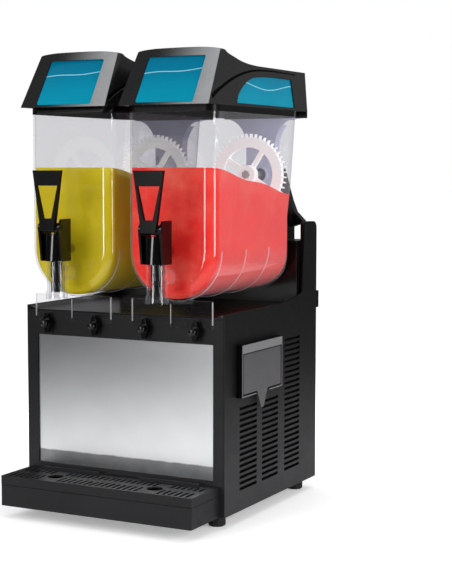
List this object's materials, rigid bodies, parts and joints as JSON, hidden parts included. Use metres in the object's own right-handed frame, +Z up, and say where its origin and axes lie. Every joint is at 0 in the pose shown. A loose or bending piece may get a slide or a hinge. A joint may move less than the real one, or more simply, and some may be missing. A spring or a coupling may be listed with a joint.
{
  "type": "slush machine",
  "caption": "Countertop frozen drink machine with clear bowls on a black cabinet, stirring augers, lever taps, lit lids, stainless splash panel and removable drip tray.",
  "frame": {"origin": "centre of the machine's footprint, on the surface under the feet", "axes": "+Z up, +X to the right of someone facing the front, -Y towards that person"},
  "size_m": [0.4102, 0.493, 0.817],
  "materials": {
    "black_sheet": "satin",
    "black_panel": "satin",
    "black_gloss": "gloss",
    "black_trim": "satin",
    "black_tray": "satin",
    "black_steel": "satin",
    "stainless": "brushed",
    "drum_steel": "polished",
    "aluminium": "satin",
    "clear_plastic": "clear gloss",
    "white_plastic": "satin",
    "lilac_plastic": "satin",
    "grey_plastic": "satin",
    "rubber": "matte",
    "yellow_slush": "wet frozen drink",
    "red_slush": "wet frozen drink",
    "blue_light": "gloss"
  },
  "bodies": {
    "machine": {"chassis": "black_sheet", "side_panel_left": "black_panel", "side_panel_right": "black_panel", "front_fascia": "black_panel", "splash_panel": "stainless", "deck": "black_gloss", "rear_housing": "black_gloss", "power_inlet": "black_trim", "control_housing": "grey_plastic", "compressor": "black_steel", "condenser": "aluminium", "fan_motor": "black_steel", "foot_front_left": "rubber", "foot_front_right": "rubber", "foot_rear_left": "rubber", "foot_rear_right": "rubber", "bowl_left": "clear_plastic", "bowl_right": "clear_plastic", "freezing_drum_left": "drum_steel", "freezing_drum_right": "drum_steel", "bowl_gasket_left": "rubber", "bowl_gasket_right": "rubber", "gear_motor_left": "black_steel", "gear_motor_right": "black_steel", "upright_left": "lilac_plastic", "upright_right": "lilac_plastic", "slush_left": "yellow_slush", "slush_right": "red_slush", "tap_body_left": "black_gloss", "tap_body_right": "black_gloss"},
    "stirrer_left": {"auger_left": "white_plastic"},
    "stirrer_right": {"auger_right": "white_plastic"},
    "gear_left": {"gear_wheel_left": "white_plastic", "drive_shaft_left": "stainless"},
    "gear_right": {"gear_wheel_right": "white_plastic", "drive_shaft_right": "stainless"},
    "fan": {"condenser_fan": "grey_plastic"},
    "handle_left": {"tap_handle_left": "black_gloss"},
    "handle_right": {"tap_handle_right": "black_gloss"},
    "piston_left": {"tap_piston_left": "black_trim", "tap_spring_left": "stainless"},
    "piston_right": {"tap_piston_right": "black_trim", "tap_spring_right": "stainless"},
    "lid_unit_left": {"lid_left": "black_gloss", "lid_front_light_left": "blue_light", "lid_side_light_left": "blue_light"},
    "lid_unit_right": {"lid_right": "black_gloss", "lid_front_light_right": "blue_light", "lid_side_light_right": "blue_light"},
    "knob_left_a": {"thumb_knob_left_a": "black_gloss"},
    "knob_left_b": {"thumb_knob_left_b": "black_gloss"},
    "knob_right_a": {"thumb_knob_right_a": "black_gloss"},
    "knob_right_b": {"thumb_knob_right_b": "black_gloss"},
    "tray": {"drip_tray": "black_tray"},
    "grid": {"drip_grid": "black_tray"},
    "flap": {"control_flap": "grey_plastic"},
    "switch_main": {"main_switch": "black_trim"},
    "switch_light": {"light_switch": "black_trim"},
    "switch_left_bowl": {"left_bowl_switch": "black_trim"},
    "switch_right_bowl": {"right_bowl_switch": "black_trim"}
  },
  "joints": [
    {"name": "auger_left_spin", "type": "hinge", "parent": "machine", "child": "stirrer_left", "pos_m": [-0.10515, 0, 0.472], "axis": [0, 1, 0], "continuous": true},
    {"name": "auger_right_spin", "type": "hinge", "parent": "machine", "child": "stirrer_right", "pos_m": [0.09485, 0, 0.472], "axis": [0, 1, 0], "continuous": true},
    {"name": "gear_wheel_left_spin", "type": "hinge", "parent": "machine", "child": "gear_left", "pos_m": [-0.10515, 0.14555, 0.60053], "axis": [0, 1, 0], "continuous": true},
    {"name": "gear_wheel_right_spin", "type": "hinge", "parent": "machine", "child": "gear_right", "pos_m": [0.09485, 0.14555, 0.60053], "axis": [0, 1, 0], "continuous": true},
    {"name": "condenser_fan_spin", "type": "hinge", "parent": "machine", "child": "fan", "pos_m": [0.10885, 0.08755, 0.1125], "axis": [1, 0, 0], "continuous": true},
    {"name": "tap_handle_left_pull", "type": "hinge", "parent": "machine", "child": "handle_left", "pos_m": [-0.10515, -0.21745, 0.511], "axis": [1, 0, 0], "range_deg": [0, 32], "stiffness_Nm_per_rad": 0.6, "springref_deg": -17.19},
    {"name": "tap_handle_right_pull", "type": "hinge", "parent": "machine", "child": "handle_right", "pos_m": [0.09485, -0.21745, 0.511], "axis": [1, 0, 0], "range_deg": [0, 32], "stiffness_Nm_per_rad": 0.6, "springref_deg": -17.19},
    {"name": "tap_piston_left_lift", "type": "slide", "parent": "machine", "child": "piston_left", "axis": [0, 0, 1], "range_m": [0, 0.0091], "stiffness_N_per_m": 200, "springref_m": -0.01, "deforming": ["tap_spring_left"]},
    {"name": "tap_piston_right_lift", "type": "slide", "parent": "machine", "child": "piston_right", "axis": [0, 0, 1], "range_m": [0, 0.0091], "stiffness_N_per_m": 200, "springref_m": -0.01, "deforming": ["tap_spring_right"]},
    {"name": "lid_left_lift", "type": "slide", "parent": "machine", "child": "lid_unit_left", "axis": [0, 0, 1], "range_m": [0, 0.12]},
    {"name": "lid_right_lift", "type": "slide", "parent": "machine", "child": "lid_unit_right", "axis": [0, 0, 1], "range_m": [0, 0.12]},
    {"name": "thumb_knob_left_a_turn", "type": "hinge", "parent": "machine", "child": "knob_left_a", "pos_m": [-0.15465, -0.15, 0.3385], "axis": [0, 1, 0], "range_deg": [0, 90]},
    {"name": "thumb_knob_left_b_turn", "type": "hinge", "parent": "machine", "child": "knob_left_b", "pos_m": [-0.05565, -0.15, 0.3385], "axis": [0, 1, 0], "range_deg": [0, 90]},
    {"name": "thumb_knob_right_a_turn", "type": "hinge", "parent": "machine", "child": "knob_right_a", "pos_m": [0.04535, -0.15, 0.3385], "axis": [0, 1, 0], "range_deg": [0, 90]},
    {"name": "thumb_knob_right_b_turn", "type": "hinge", "parent": "machine", "child": "knob_right_b", "pos_m": [0.14435, -0.15, 0.3385], "axis": [0, 1, 0], "range_deg": [0, 90]},
    {"name": "drip_tray_slide", "type": "slide", "parent": "machine", "child": "tray", "axis": [0, -1, 0], "range_m": [0, 0.15]},
    {"name": "drip_grid_lift", "type": "slide", "parent": "tray", "child": "grid", "axis": [0, 0, 1], "range_m": [0, 0.06]},
    {"name": "control_flap_hinge", "type": "hinge", "parent": "machine", "child": "flap", "pos_m": [0.20265, -0.02145, 0.2935], "axis": [0, -1, 0], "range_deg": [0, 95]},
    {"name": "main_switch_press", "type": "hinge", "parent": "machine", "child": "switch_main", "pos_m": [0.18785, -0.07745, 0.2575], "axis": [0, -1, 0], "range_deg": [0, 16]},
    {"name": "light_switch_press", "type": "hinge", "parent": "machine", "child": "switch_light", "pos_m": [0.18785, -0.04445, 0.2575], "axis": [0, -1, 0], "range_deg": [0, 16]},
    {"name": "left_bowl_switch_press", "type": "hinge", "parent": "machine", "child": "switch_left_bowl", "pos_m": [0.18785, -0.01145, 0.2575], "axis": [0, -1, 0], "range_deg": [0, 16]},
    {"name": "right_bowl_switch_press", "type": "hinge", "parent": "machine", "child": "switch_right_bowl", "pos_m": [0.18785, 0.02155, 0.2575], "axis": [0, -1, 0], "range_deg": [0, 16]}
  ],
  "couplings": [
    {"joint": "gear_wheel_left_spin", "follows": "auger_left_spin", "ratio": -0.75},
    {"joint": "gear_wheel_right_spin", "follows": "auger_right_spin", "ratio": -0.75},
    {"joint": "tap_piston_left_lift", "follows": "tap_handle_left_pull", "m_per_rad": 0.016115},
    {"joint": "tap_piston_right_lift", "follows": "tap_handle_right_pull", "m_per_rad": 0.016115}
  ]
}
